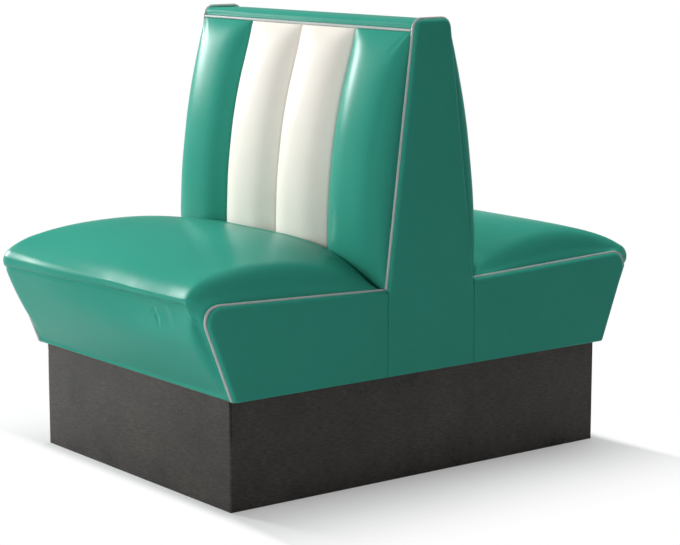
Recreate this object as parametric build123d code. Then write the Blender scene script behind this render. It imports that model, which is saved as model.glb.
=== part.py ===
from build123d import *
import math
import os

# Booth seat for two rows of guests, back to back. Millimetres. X runs across the seat,
# -Y is the side of the front seat, +Y the side of the rear seat, +Z is up.
# The origin is on the floor, under the middle of the booth.

# Plinth, and how far it stands back under the sides and the ends of the body
plinth_height = 244
plinth_side_setback = 29.5
plinth_end_setback = 8

# Body: outer faces of the two flat sides, and the side outline of a seat.
# A reach is a distance from the middle of the booth, along Y. The joint, where a seat meets
# the back, rises over the plinth, and the nose of the seat overhangs the base and rises over the joint.
body_width = 820
base_reach = 536
nose_overhang = 82
joint_rise = 195
nose_lift = 17
seam_reach = 125
nose_length = 54

# Back: where its slopes end under the cap, and how far the cap and the arched sides rise over that
shoulder_reach = 53
shoulder_height = 1002
cap_rise = 22
cap_radius = 14
arch_rise = 24.5
arch_radius = 20

# Crown of a seat cushion at its middle, over the flat side outline
nose_bulge = 50
nose_rise = 20
crease_rise = 73
crease_lean = 21
crown_angle = 18
bow_angle = 9.5
crown_nose_length = 60

# Padded channels of the back
channel_count = 4
channel_valley = 30
channel_crest = 20
channel_base = 8
channel_shoulder = 14
channel_end_gap = 2
channel_edge_step = 0.5

# Vinyl, trim and boards
cover_thickness = 2
foam_gap = 0.3
side_cover_thickness = 11
piping_radius = 3.25
piping_gap = 0.25
piping_lift = 2
board_thickness = 15
floor_thickness = 12
deck_thickness = 12
front_board_thickness = 12
back_board_thickness = 6
edge_padding = 12
front_padding = 18
seat_foam_depth = 39
floor_setback = 1

# Back frame
top_rail_height = 52
lower_rail_thickness = 18
lower_rail_height = 80
seat_rail_thickness = 18
cap_padding_thickness = 10

# Plinth boards, blocks and levelling feet
plinth_board = 18
cross_rail_height = 80
cross_rail_reach = 160
block_side = 45
block_height = 105
foot_radius = 18
foot_thickness = 8
foot_gap = 0.3
foot_chamfer = 1.5
stud_radius = 4
stud_length = 45
thread_gap = 0.05
stud_head_room = 8
stud_room_gap = 0.6
stud_slot_width = 1.2
stud_slot_depth = 2
nut_radius = 6
nut_length = 20
nut_flange_radius = 11
nut_flange_thickness = 1.5

# Screws and bolts
screw_radius = 2.5
screw_head_radius = 4.5
screw_head_length = 3
screw_bite = 12
lower_screw_height = 82
upper_screw_height = 98
bolt_radius = 4
bolt_hole_gap = 0.2
bolt_head_radius = 9
bolt_head_length = 4.5
bolt_nut_radius = 7.5
bolt_nut_length = 6.5
bolt_end_length = 5
bolt_spread = 520
bolt_edge = 20

# Brackets that hold the body on the plinth
bracket_leg = 40
bracket_thickness = 2.5
bracket_width = 30
front_bracket_spread = 480
side_bracket_spread = 600
bracket_screw_radius = 2
bracket_screw_head_radius = 4
bracket_screw_head_length = 2
bracket_screw_bite = 9

# Shares of the half width where the seat has a section, and of the height where a channel has one
section_shares = [0, 0.4, 0.7, 0.82, 0.89, 0.935, 0.965, 0.985, 1]
height_shares = [0, 0.025, 0.08, 0.2, 0.4, 0.6, 0.78, 0.9, 0.97, 1]
front_power = 16
crease_power = 4.5
valley_power = 0.7
crest_power = 0.5
shoulder_share = 0.3
turn_share = 0.7

# Worked out from the sizes above
nose_reach = base_reach + nose_overhang
joint_height = plinth_height + joint_rise
nose_height = joint_height + nose_lift
half_cover = body_width / 2 - side_cover_thickness
half_board = half_cover - board_thickness
piping_x = half_cover + piping_gap + piping_radius
joint_reach = seam_reach + piping_radius + piping_gap
channel_width = 2 * half_cover / channel_count
overrun = cover_thickness + side_cover_thickness
plinth_width = body_width - 2 * plinth_side_setback
plinth_depth = 2 * (base_reach - plinth_end_setback)
cap_height = shoulder_height + cap_rise
arch_height = shoulder_height + arch_rise
deck_height = joint_height - seat_foam_depth


def edge_reach(height):
    """Reach of the straight tapering edge of the back at a height."""
    share = (height - joint_height) / (shoulder_height - joint_height)
    return seam_reach + (shoulder_reach - seam_reach) * share


def save(shape, name):
    export_step(shape, os.path.join("parts", name + ".step"))


def save_pair(shape, name, plane, first, second):
    """Write a piece and its mirror image, with the side's name in each file name."""
    save(shape, name.format(first))
    save(mirror(shape, about=plane), name.format(second))


def save_seat(shape, name):
    save_pair(shape, "{}_seat_" + name, Plane.XZ, "front", "rear")


def group(solids):
    return Compound(children=list(solids))


def rectangle(near, far, low, high):
    """Corners of a rectangle, as (reach, height) pairs."""
    return [(near, low), (far, low), (far, high), (near, high)]


def side_prism(points, start, thickness):
    """A flat board in the YZ plane, from its outline of (reach, height) and its first X."""
    corners = [Vector(start, -reach, height) for reach, height in points]
    face = make_face(Polyline(*corners, close=True))
    return extrude(face, amount=thickness, dir=Vector(1, 0, 0))


def cross_board(points, half_width):
    """A board that runs across the booth, from its outline of (reach, height)."""
    return side_prism(points, -half_width, 2 * half_width)


def block(low, high):
    size = [b - a for a, b in zip(low, high)]
    return Pos(*low) * Box(*size, align=(Align.MIN, Align.MIN, Align.MIN))


def rod(start, direction, radius, length):
    return Solid.make_cylinder(radius, length, Plane(start, z_dir=direction))


# Seat outline and crown


def seat_frame(x, crown, crease, inset):
    """Points and directions of a seat's outline at one X: base, nose start, nose end, crease."""
    base = Vector(x, -(base_reach - inset), plinth_height)
    nose = nose_reach + nose_bulge * crown - inset
    apex = Vector(x, -nose, nose_height + nose_rise * crown - inset)
    reach = joint_reach + crease_lean * crown
    joint = Vector(x, -reach, joint_height + crease_rise * crease - inset)
    length = nose_length + (crown_nose_length - nose_length) * crown
    front = (apex - base).normalized().rotate(Axis.X, -bow_angle * crown)
    top = (joint - apex).normalized().rotate(Axis.X, crown_angle * crown)
    return base, apex - front * length, apex + top * length, joint, front, top


def seat_curves(x, width_share, inset):
    """Front, nose and top of a seat's section, with its first and last point."""
    crown = 1 - width_share ** front_power
    crease = 1 - width_share ** crease_power
    base, nose_start, nose_end, joint, front, top = seat_frame(x, crown, crease, inset)
    nose = TangentArc(nose_start, nose_end, tangent=front)
    if crown == 0:
        curves = [Line(base, nose_start), nose, Line(nose_end, joint)]
    else:
        face = TangentArc(nose_start, base, tangent=front * -1)
        curves = [face, nose, TangentArc(nose_end, joint, tangent=top)]
    return curves, base, joint


def seat_loft(section):
    """One solid through the sections of a seat, from one side panel to the other."""
    shares = [-share for share in reversed(section_shares[1:])] + section_shares
    return Solid.make_loft([section(half_cover * share, abs(share)) for share in shares])


def full_section(x, width_share):
    curves, base, joint = seat_curves(x, width_share, cover_thickness + foam_gap)
    corner = Vector(x, -joint_reach, plinth_height)
    return Wire(curves + [Line(joint, corner), Line(corner, base)])


def skin_section(x, width_share):
    outer, outer_base, outer_joint = seat_curves(x, width_share, 0)
    inner, inner_base, inner_joint = seat_curves(x, width_share, cover_thickness)
    return Wire(outer + [Line(outer_joint, inner_joint)] + inner[::-1] + [Line(inner_base, outer_base)])


def offset_line(start, end, distance):
    """The line from start to end, as (reach, height) pairs, moved to its right by a distance."""
    run = end[0] - start[0]
    rise = end[1] - start[1]
    length = math.hypot(run, rise)
    step = (rise * distance / length, -run * distance / length)
    return (start[0] + step[0], start[1] + step[1]), (end[0] + step[0], end[1] + step[1])


def crossing(first, second):
    """Where two lines of (reach, height) pairs meet."""
    (x1, y1), (x2, y2) = first
    (x3, y3), (x4, y4) = second
    turn = (x2 - x1) * (y4 - y3) - (y2 - y1) * (x4 - x3)
    share = ((x3 - x1) * (y4 - y3) - (y3 - y1) * (x4 - x3)) / turn
    return x1 + (x2 - x1) * share, y1 + (y2 - y1) * share


def at_height(line, height):
    (x1, y1), (x2, y2) = line
    return x1 + (x2 - x1) * (height - y1) / (y2 - y1), height


base_point = (base_reach, plinth_height)
apex_point = (nose_reach, nose_height)
joint_point = (joint_reach, joint_height)
floor_top = plinth_height + floor_thickness
deck_bottom = deck_height - deck_thickness


def inset_lines(inset):
    """The front line and the top line of the flat seat outline, moved inwards."""
    return offset_line(base_point, apex_point, -inset), offset_line(apex_point, joint_point, -inset)


def front_board_lines():
    outer = offset_line(base_point, apex_point, -front_padding)
    inner = offset_line(base_point, apex_point, -front_padding - front_board_thickness)
    return outer, inner


def seat_floor():
    front = base_reach - cover_thickness - floor_setback
    return cross_board(rectangle(seam_reach, front, plinth_height, floor_top), half_cover)


def seat_side_boards():
    front, top = inset_lines(edge_padding)
    corners = [
        (seam_reach, floor_top),
        at_height(front, floor_top),
        crossing(front, top),
        crossing(top, ((seam_reach, floor_top), (seam_reach, deck_height))),
    ]
    board = side_prism(corners, half_board, board_thickness)
    tip = Vector(half_board, -corners[2][0], corners[2][1])
    edge = board.edges().filter_by(Axis.X).sort_by_distance(tip)[0]
    board = fillet(edge, nose_radius() - edge_padding)
    return [board, mirror(board, about=Plane.YZ)]


def seat_front_board():
    outer, inner = front_board_lines()
    corners = [at_height(line, height) for line, height in
               ((inner, floor_top), (outer, floor_top), (outer, deck_bottom), (inner, deck_bottom))]
    return cross_board(corners, half_board)


def seat_deck():
    front = at_height(front_board_lines()[0], deck_bottom)[0]
    return cross_board(rectangle(seam_reach, front, deck_bottom, deck_height), half_board)


def seat_back_rail():
    inner = seam_reach + seat_rail_thickness
    return cross_board(rectangle(seam_reach, inner, floor_top, deck_bottom), half_board)


def seat_foam():
    """Foam over the deck, round the nose and down the front, cut to the boards that it lies on."""
    foam = seat_loft(full_section)
    outer = front_board_lines()[0]
    hollow = [(-overrun, -overrun), at_height(outer, -overrun), at_height(outer, deck_bottom),
              (at_height(outer, deck_bottom)[0], deck_height), (-overrun, deck_height)]
    foam = foam - cross_board(hollow, half_board)
    below = rectangle(-overrun, 2 * nose_reach, -overrun, floor_top)
    foam = foam - cross_board(below, body_width)
    for board in seat_side_boards():
        foam = foam - board
    return foam


def seat_side_cover():
    """Flat end panel of a seat, up to the piping that is sewn round it."""
    front, top = inset_lines(piping_radius)
    seam = ((seam_reach, plinth_height), (seam_reach, joint_height))
    tip = crossing(front, top)
    corners = [(seam_reach, plinth_height), at_height(front, plinth_height), tip, crossing(top, seam)]
    panel = side_prism(corners, half_cover, side_cover_thickness)
    edge = panel.edges().filter_by(Axis.X).sort_by_distance(Vector(half_cover, -tip[0], tip[1]))[0]
    return fillet(edge, nose_radius() - piping_radius)


def nose_radius():
    """Radius of the rounded nose of the flat side outline."""
    front = math.atan2(nose_height - plinth_height, nose_reach - base_reach)
    top = math.atan2(nose_height - joint_height, nose_reach - joint_reach)
    return nose_length * math.tan((front - top) / 2)


def seat_piping():
    """Piping cord of a seat's right side, from the base round the nose to the back."""
    curves, base, joint = seat_curves(piping_x, 1, 0)
    low = curves[0] % 0
    start = base + low * piping_lift
    path = Wire([Line(start, curves[0] @ 1), curves[1], curves[2]])
    return sweep(rod_section(start, low, piping_radius), path=path)


def rod_section(start, direction, radius):
    return make_face(Plane(start, z_dir=direction) * Circle(radius).edge())


# Back: channels, boards, frame and trim

channel_bottom = joint_height + channel_end_gap
channel_top = shoulder_height - piping_radius - piping_gap
frame_setback = channel_base + back_board_thickness
frame_top = cap_height - cover_thickness - cap_padding_thickness
frame_top_reach = edge_reach(frame_top) - frame_setback
cap_bottom = shoulder_height + piping_radius + piping_gap


def channel_fullness(height):
    """From 0 at the ends of the back to 1 at its middle, as depths of the valleys and the crests."""
    share = (height - joint_height) / (shoulder_height - joint_height)
    full = 4 * share * (1 - share)
    return channel_valley * full ** valley_power, channel_crest * full ** crest_power


def inner_channel_section(height):
    valley, crest = channel_fullness(height)
    edge = edge_reach(height)
    front = edge + valley
    start = Vector(0, -front, height)
    middle = Vector(channel_width / 2, -front - crest, height)
    end = Vector(channel_width, -front, height)
    back = -edge + channel_base
    corners = [end, Vector(channel_width, back, height), Vector(0, back, height), start]
    return Wire([ThreePointArc(start, middle, end)] + [Line(a, b) for a, b in zip(corners, corners[1:])])


def outer_channel_section(height):
    """Like an inner channel, but its outer side rolls steeply down to the piping."""
    valley, crest = channel_fullness(height)
    edge = edge_reach(height)
    shoulder_x = half_cover - channel_shoulder
    shoulder = valley + shoulder_share * crest
    start = Vector(channel_width, -edge - valley, height)
    middle = Vector((channel_width + shoulder_x) / 2, -edge - valley - crest, height)
    turn = Vector(shoulder_x, -edge - shoulder, height)
    side = Vector(shoulder_x + turn_share * channel_shoulder, -edge - turn_share * shoulder, height)
    end = Vector(half_cover, -edge - channel_edge_step, height)
    back = -edge + channel_base
    corners = [end, Vector(half_cover, back, height), Vector(channel_width, back, height), start]
    arcs = [ThreePointArc(start, middle, turn), ThreePointArc(turn, side, end)]
    return Wire(arcs + [Line(a, b) for a, b in zip(corners, corners[1:])])


def channel(section):
    length = channel_top - channel_bottom
    return Solid.make_loft([section(channel_bottom + length * share) for share in height_shares])


def back_board():
    low = edge_reach(channel_bottom) - channel_base
    high = edge_reach(channel_top) - channel_base
    corners = [(low, channel_bottom), (high, channel_top),
               (high - back_board_thickness, channel_top), (low - back_board_thickness, channel_bottom)]
    return cross_board(corners, half_cover)


def both_ways(corners):
    """An outline of (reach, height) pairs, carried on over the middle of the booth."""
    return corners + [(-reach, height) for reach, height in reversed(corners)]


def back_side_frame():
    step = edge_reach(joint_height) - frame_setback
    corners = [(seam_reach, plinth_height), (seam_reach, joint_height),
               (step, joint_height), (frame_top_reach, frame_top)]
    return side_prism(both_ways(corners), half_board, board_thickness)


def back_top_rail():
    low = frame_top - top_rail_height
    return block((-half_board, -frame_top_reach, low), (half_board, frame_top_reach, frame_top))


def back_lower_rails():
    rails = []
    for low in (plinth_height, joint_height - lower_rail_height):
        near = (-half_board, -seam_reach, low)
        far = (half_board, -seam_reach + lower_rail_thickness, low + lower_rail_height)
        rails.append(block(near, far))
    return rails


def cap_form(inset, low):
    """The long rounded block of the cap, between the two arched sides."""
    reach = shoulder_reach - inset
    top = cap_height - inset
    form = block((-half_cover, -reach, low), (half_cover, reach, top))
    edges = form.edges().filter_by(Axis.X).group_by(Axis.Z)[-1]
    return fillet(edges, cap_radius - inset)


def cap_cover():
    return cap_form(0, cap_bottom) - cap_form(cover_thickness, cap_bottom - overrun)


def cap_padding():
    reach = edge_reach(cap_bottom) - frame_setback
    frame = block((-body_width, -reach, cap_bottom - overrun), (body_width, reach, frame_top))
    return cap_form(cover_thickness, cap_bottom) - frame


def arch_outline():
    """Sloping edge of the back's flat side, up to the corner of the arch, as (reach, height) pairs."""
    edge = ((seam_reach, joint_height), (shoulder_reach, shoulder_height))
    return at_height(edge, joint_height - piping_radius), at_height(edge, arch_height)


def back_side_cover():
    """Flat end panel of the back, inside the piping that is sewn round it."""
    low, high = arch_outline()
    edge = offset_line(low, high, -piping_radius)
    seam_top = joint_height - piping_radius - piping_lift
    top = arch_height - piping_radius
    corners = [(seam_reach, plinth_height), (seam_reach, seam_top),
               at_height(edge, seam_top), at_height(edge, top)]
    panel = side_prism(both_ways(corners), half_cover, side_cover_thickness)
    return fillet(panel.edges().filter_by(Axis.X).group_by(Axis.Z)[-1], arch_radius - piping_radius)


def back_side_piping():
    corners = [Vector(piping_x, -reach, height) for reach, height in both_ways(list(arch_outline()))]
    path = FilletPolyline(*corners, radius=arch_radius)
    section = rod_section(corners[0], corners[1] - corners[0], piping_radius)
    return sweep(section, path=path)


def cap_piping():
    start = Vector(-half_cover, -shoulder_reach, shoulder_height)
    return rod(start, Vector(1, 0, 0), piping_radius, 2 * half_cover)


# Bolts that join a seat to the back

bolt_heights = (floor_top + bolt_edge, deck_bottom - bolt_edge)
bolt_head_reach = seam_reach + seat_rail_thickness
bolt_nut_reach = seam_reach - lower_rail_thickness


def bolt_places():
    return [(x, height) for x in (-bolt_spread / 2, bolt_spread / 2) for height in bolt_heights]


def bolt(x, height):
    inwards = Vector(0, 1, 0)
    start = Vector(x, -bolt_head_reach - bolt_head_length, height)
    head = rod(start, inwards, bolt_head_radius, bolt_head_length)
    length = bolt_head_reach - bolt_nut_reach + bolt_nut_length + bolt_end_length
    return head + rod(Vector(x, -bolt_head_reach, height), inwards, bolt_radius, length)


def bolt_nut(x, height):
    start = Vector(x, -bolt_nut_reach, height)
    inwards = Vector(0, 1, 0)
    body = extrude(Plane(start, z_dir=inwards) * RegularPolygon(bolt_nut_radius, 6), amount=bolt_nut_length)
    return body - rod(start, inwards, bolt_radius + thread_gap, bolt_nut_length)


def drill_bolts(board):
    start = -bolt_head_reach - overrun
    length = bolt_head_reach - bolt_nut_reach + 2 * overrun
    for x, height in bolt_places():
        board = board - rod(Vector(x, start, height), Vector(0, 1, 0), bolt_radius + bolt_hole_gap, length)
    return board


# Plinth

half_plinth = plinth_width / 2
half_inside = half_plinth - plinth_board
half_depth = plinth_depth / 2
depth_inside = half_depth - plinth_board
block_bottom = foot_thickness + foot_gap + nut_flange_thickness
block_middle = Vector(half_inside - block_side / 2, -(depth_inside - block_side / 2), 0)
stud_top = foot_thickness + stud_length


def plinth_cross_panel():
    return block((-half_plinth, -half_depth, 0), (half_plinth, -depth_inside, plinth_height))


def plinth_side_panel():
    return block((half_inside, -depth_inside, 0), (half_plinth, depth_inside, plinth_height))


def plinth_cross_rail():
    low = (-half_inside, -cross_rail_reach - plinth_board / 2, plinth_height - cross_rail_height)
    high = (half_inside, -cross_rail_reach + plinth_board / 2, plinth_height)
    return block(low, high)


def screw(start, direction, length, head_radius, head_length, radius):
    """A wood screw with its head flush at its start."""
    return rod(start, direction, head_radius, head_length) + rod(start, direction, radius, length)


def corner_screws():
    """The screws of the front right corner block, one into each panel."""
    length = block_side + screw_bite
    outwards = Vector(block_middle.X - block_side / 2, block_middle.Y, lower_screw_height)
    forwards = Vector(block_middle.X, block_middle.Y + block_side / 2, upper_screw_height)
    sizes = (length, screw_head_radius, screw_head_length, screw_radius)
    return [screw(outwards, Vector(1, 0, 0), *sizes), screw(forwards, Vector(0, -1, 0), *sizes)]


def corner_block():
    """Wooden block in a corner of the plinth, bored for the nut and the foot's stud."""
    x, y = block_middle.X, block_middle.Y
    half = block_side / 2
    body = block((x - half, y - half, block_bottom), (x + half, y + half, block_bottom + block_height))
    up = Vector(0, 0, 1)
    body = body - rod(Vector(x, y, block_bottom), up, nut_radius, nut_length)
    room = stud_top + stud_head_room - block_bottom
    body = body - rod(Vector(x, y, block_bottom), up, stud_radius + stud_room_gap, room)
    for piece in corner_screws():
        body = body - piece
    return body


def leveller_nut():
    x, y = block_middle.X, block_middle.Y
    up = Vector(0, 0, 1)
    low = block_bottom - nut_flange_thickness
    body = rod(Vector(x, y, low), up, nut_flange_radius, nut_flange_thickness)
    body = body + rod(Vector(x, y, block_bottom), up, nut_radius, nut_length)
    length = nut_flange_thickness + nut_length
    return body - rod(Vector(x, y, low), up, stud_radius + thread_gap, length)


def levelling_foot():
    """Foot with a round pad, a threaded stud and a slot for a screwdriver in the stud's end."""
    x, y = block_middle.X, block_middle.Y
    up = Vector(0, 0, 1)
    pad = rod(Vector(x, y, 0), up, foot_radius, foot_thickness)
    pad = chamfer(pad.edges().filter_by(GeomType.CIRCLE), foot_chamfer)
    stud = rod(Vector(x, y, foot_thickness), up, stud_radius, stud_length)
    low = (x - stud_radius - overrun, y - stud_slot_width / 2, stud_top - stud_slot_depth)
    high = (x + stud_radius + overrun, y + stud_slot_width / 2, stud_top + overrun)
    return pad + (stud - block(low, high))


def four_corners(piece):
    """The front right piece of a corner, and the three like it."""
    right = [piece, mirror(piece, about=Plane.XZ)]
    return right + [mirror(each, about=Plane.YZ) for each in right]


def bracket_places():
    """Front and right bracket: (point under the body at the panel's inner face, direction inwards)."""
    front = Vector(front_bracket_spread / 2, -depth_inside, plinth_height)
    side = Vector(half_inside, -side_bracket_spread / 2, plinth_height)
    return [(front, Vector(0, 1, 0)), (side, Vector(-1, 0, 0))]


def bracket_screws(corner, inwards):
    middle = bracket_leg / 2
    below = corner + inwards * middle - Vector(0, 0, bracket_thickness + bracket_screw_head_length)
    inside = corner + inwards * (bracket_thickness + bracket_screw_head_length) - Vector(0, 0, middle)
    length = bracket_screw_head_length + bracket_thickness + bracket_screw_bite
    sizes = (length, bracket_screw_head_radius, bracket_screw_head_length, bracket_screw_radius)
    return [screw(below, Vector(0, 0, 1), *sizes), screw(inside, inwards * -1, *sizes)]


def bracket(corner, inwards):
    along = Vector(abs(inwards.Y), abs(inwards.X), 0) * (bracket_width / 2)
    down = Vector(0, 0, -1)
    flat = inwards * bracket_leg + down * bracket_thickness
    upright = inwards * bracket_thickness + down * bracket_leg
    legs = []
    for leg in (flat, upright):
        first = corner - along
        last = corner + along + leg
        low = [min(a, b) for a, b in zip(first, last)]
        high = [max(a, b) for a, b in zip(first, last)]
        legs.append(block(low, high))
    body = legs[0] + legs[1]
    for piece in bracket_screws(corner, inwards):
        body = body - piece
    return body


def all_bracket_screws():
    pieces = []
    for corner, inwards in bracket_places():
        for piece in bracket_screws(corner, inwards):
            pieces.extend(four_corners(piece))
    return pieces


def drilled(board, pieces):
    for piece in pieces:
        board = board - piece
    return board


# Writing the pieces


def write_seats():
    screws = all_bracket_screws()
    save_seat(drilled(seat_floor(), screws), "floor")
    save_seat(group(seat_side_boards()), "side_boards")
    save_seat(seat_front_board(), "front_board")
    save_seat(drill_bolts(seat_back_rail()), "back_rail")
    save_seat(seat_deck(), "deck")
    save_seat(seat_foam(), "foam")
    save_seat(seat_loft(skin_section), "top_cover")
    for piece, name in ((seat_side_cover(), "side_cover_"), (seat_piping(), "piping_")):
        save_seat(piece, name + "right")
        save_seat(mirror(piece, about=Plane.YZ), name + "left")


def write_back():
    sections = {"channel_inner_": inner_channel_section, "channel_outer_": outer_channel_section}
    for name, section in sections.items():
        piece = channel(section)
        for side, form in (("right", piece), ("left", mirror(piece, about=Plane.YZ))):
            save_pair(form, "{}_" + name + side, Plane.XZ, "front", "rear")
    save_pair(back_board(), "{}_back_board", Plane.XZ, "front", "rear")
    save_pair(cap_piping(), "{}_cap_piping", Plane.XZ, "front", "rear")
    save_pair(back_side_frame(), "back_side_frame_{}", Plane.YZ, "right", "left")
    save_pair(back_side_cover(), "back_side_cover_{}", Plane.YZ, "right", "left")
    save_pair(back_side_piping(), "back_side_piping_{}", Plane.YZ, "right", "left")
    save(back_top_rail(), "back_top_rail")
    front_rails = [drill_bolts(rail) for rail in back_lower_rails()]
    save(group(front_rails + [mirror(rail, about=Plane.XZ) for rail in front_rails]), "back_lower_rails")
    save(cap_cover(), "cap_cover")
    save(cap_padding(), "cap_padding")
    bolts = []
    for x, height in bolt_places():
        for piece in (bolt(x, height), bolt_nut(x, height)):
            bolts.extend([piece, mirror(piece, about=Plane.XZ)])
    save(group(bolts), "seat_bolts_and_nuts")


def write_plinth():
    corner_pieces = []
    for piece in corner_screws():
        corner_pieces.extend(four_corners(piece))
    screws = corner_pieces + all_bracket_screws()
    save_pair(drilled(plinth_cross_panel(), screws), "plinth_{}_panel", Plane.XZ, "front", "rear")
    save_pair(drilled(plinth_side_panel(), screws), "plinth_{}_panel", Plane.YZ, "right", "left")
    save(group([plinth_cross_rail(), mirror(plinth_cross_rail(), about=Plane.XZ)]), "plinth_cross_rails")
    save(group(four_corners(corner_block())), "plinth_corner_blocks")
    save(group(corner_pieces), "corner_block_screws")
    save(group(four_corners(leveller_nut())), "leveller_nuts")
    names = ("front_right", "rear_right", "front_left", "rear_left")
    for piece, name in zip(four_corners(levelling_foot()), names):
        save(piece, "levelling_foot_" + name)
    brackets = []
    for corner, inwards in bracket_places():
        brackets.extend(four_corners(bracket(corner, inwards)))
    save(group(brackets), "plinth_brackets")
    save(group(all_bracket_screws()), "plinth_bracket_screws")


os.makedirs("parts", exist_ok=True)
write_seats()
write_back()
write_plinth()
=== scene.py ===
import math

import bpy
import numpy as np
from bpy.props import FloatProperty, FloatVectorProperty, PointerProperty
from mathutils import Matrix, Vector
from mathutils.geometry import delaunay_2d_cdt


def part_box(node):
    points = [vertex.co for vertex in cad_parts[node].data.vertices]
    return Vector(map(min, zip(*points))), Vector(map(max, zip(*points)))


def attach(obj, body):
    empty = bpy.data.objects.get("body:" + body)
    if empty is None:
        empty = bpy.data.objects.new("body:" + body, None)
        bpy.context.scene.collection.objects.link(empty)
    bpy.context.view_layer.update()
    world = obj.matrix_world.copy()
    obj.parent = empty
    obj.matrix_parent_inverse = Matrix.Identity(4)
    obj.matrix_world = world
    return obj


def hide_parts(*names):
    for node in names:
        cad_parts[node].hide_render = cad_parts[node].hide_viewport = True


bl_info = {
    "name": "Booth seat builder",
    "version": (1, 0, 0),
    "blender": (4, 5, 0),
    "location": "View3D > Sidebar > Booth",
    "description": "Dresses the packed booth seat with vinyl cushions, channels, piping and a plinth",
    "category": "Object",
}

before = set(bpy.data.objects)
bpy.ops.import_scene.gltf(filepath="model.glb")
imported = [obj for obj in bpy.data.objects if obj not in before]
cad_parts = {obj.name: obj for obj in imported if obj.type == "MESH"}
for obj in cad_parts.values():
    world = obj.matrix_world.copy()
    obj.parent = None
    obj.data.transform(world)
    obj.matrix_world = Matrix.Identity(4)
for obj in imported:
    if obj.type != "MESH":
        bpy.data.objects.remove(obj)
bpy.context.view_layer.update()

# The two seats lie to either side along Y, and the two flat sides of the booth along X.
SEATS = (("front", -1), ("rear", 1))
HANDS = (("left", -1), ("right", 1))

# Places of the seat and the back, in metres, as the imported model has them.
# A reach is a distance from the middle of the booth, along Y.
HALF_COVER = 0.399
COVER_FACE = 0.410
HALF_BOARD = 0.384
BASE_REACH = 0.536
BASE_HEIGHT = 0.244
NOSE_REACH = 0.618
NOSE_HEIGHT = 0.456
NOSE_LENGTH = 0.054
CREASE_LEAN = 0.021
BROW_LENGTH = 0.090
JOINT_REACH = 0.1285
JOINT_HEIGHT = 0.439
SEAM_REACH = 0.125
SHOULDER_REACH = 0.053
SHOULDER_HEIGHT = 1.002
ARCH_HEIGHT = 1.0265
ARCH_RADIUS = 0.023
CAP_LOW = 1.0055
CAP_HIGH = 1.024
CAP_RADIUS = 0.014
CHANNEL_LOW = 0.441
CHANNEL_HIGH = 0.9985
CHANNEL_WIDTH = 0.1995
DECK_HEIGHT = 0.400
FLOOR_TOP = 0.256
PIPING_X = 0.400
BASE = (BASE_REACH, BASE_HEIGHT)
APEX = (NOSE_REACH, NOSE_HEIGHT)
JOINT = (JOINT_REACH, JOINT_HEIGHT)

# Small sizes of covers and boards, in metres
CLEARANCE = 0.0002
COVER_AND_LINING = 0.0123
BOARD_AND_LINING = 0.0195
BOARD_GAP = 0.0005
CHANNEL_BASE = 0.008
SEAM_GAP = 0.0006
SEAM_STEP = 0.0016
SEAM_DEPTH = 0.003
PIPING_HEM = 0.00325
NOSE_RADIUS = 0.03565


# Colours and materials


def linear(code):
    """Turns an sRGB hex value into the linear colour that Blender works in."""
    parts = [int(code[i:i + 2], 16) / 255 for i in (1, 3, 5)]
    return tuple(c / 12.92 if c <= 0.04045 else ((c + 0.055) / 1.055) ** 2.4 for c in parts)


def shade(colour, factor):
    """The colour made darker or lighter, with full alpha, as a shader socket takes it."""
    return (*(min(c * factor, 1.0) for c in colour), 1.0)


def add(tree, kind, inputs=None, output=0, **settings):
    """Adds a node with its settings; an input takes a value or the socket that feeds it. It gives
    back one of the node's outputs, or the node itself where the output is None."""
    made = tree.nodes.new("ShaderNode" + kind)
    for name, value in settings.items():
        setattr(made, name, value)
    for name, value in (inputs or {}).items():
        if isinstance(value, bpy.types.NodeSocket):
            tree.links.new(value, made.inputs[name])
        else:
            made.inputs[name].default_value = value
    return made if output is None else made.outputs[output]


def new_material(name):
    """An empty material, its node tree, and the position on the object in metres."""
    material = bpy.data.materials.new(name)
    material.use_nodes = True
    tree = material.node_tree
    tree.nodes.clear()
    place = add(tree, "TexCoord", output="Object")
    return material, tree, place


def finish_material(material, tree, shader, colour):
    tree.links.new(shader, add(tree, "OutputMaterial", output=None).inputs["Surface"])
    material.diffuse_color = shade(colour, 1.0)
    return material


def patterned(name, colour, noise, tones, gloss, sockets, relief=None, grain=None, stretch=None):
    """A material whose noise moves its tone between two shades of its colour, and its gloss
    where that is a range. The relief is the strength and depth of the noise, or of a grain of
    cells with a width in metres. The sockets are the shader's own values."""
    material, tree, place = new_material(name)
    if stretch:
        place = add(tree, "Mapping", {"Vector": place, "Scale": stretch})
    pattern = add(tree, "TexNoise", {"Vector": place, **noise})
    inputs = dict(sockets)
    inputs["Base Color"] = add(tree, "Mix", {
        "Factor": pattern, 6: shade(colour, tones[0]), 7: shade(colour, tones[1])},
        output=2, data_type="RGBA")
    if isinstance(gloss, tuple):
        gloss = add(tree, "MapRange", {"Value": pattern, "To Min": gloss[0], "To Max": gloss[1]})
    inputs["Roughness"] = gloss
    if relief:
        height = pattern
        if grain:
            height = add(tree, "TexVoronoi", {"Vector": place, "Scale": 1 / grain}, feature="SMOOTH_F1")
        inputs["Normal"] = add(tree, "Bump", {
            "Height": height, "Strength": relief[0], "Distance": relief[1]})
    shader = add(tree, "BsdfPrincipled", inputs)
    return finish_material(material, tree, shader, colour)


def upholstery_vinyl(name, colour):
    """PVC-coated upholstery cloth, calendered and embossed: an even, full colour with a soft
    satin sheen, a slightly uneven gloss and a very fine leather grain. The real grain is about
    1 mm; its cells are drawn 2.5 mm wide, so that a close view shows them."""
    return patterned(name, colour, {"Scale": 7.0, "Detail": 3.0}, (0.95, 1.05),
                     (0.27, 0.33), {"IOR": 1.5, "Specular IOR Level": 0.055}, (0.06, 0.0004), 0.0025)


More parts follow.
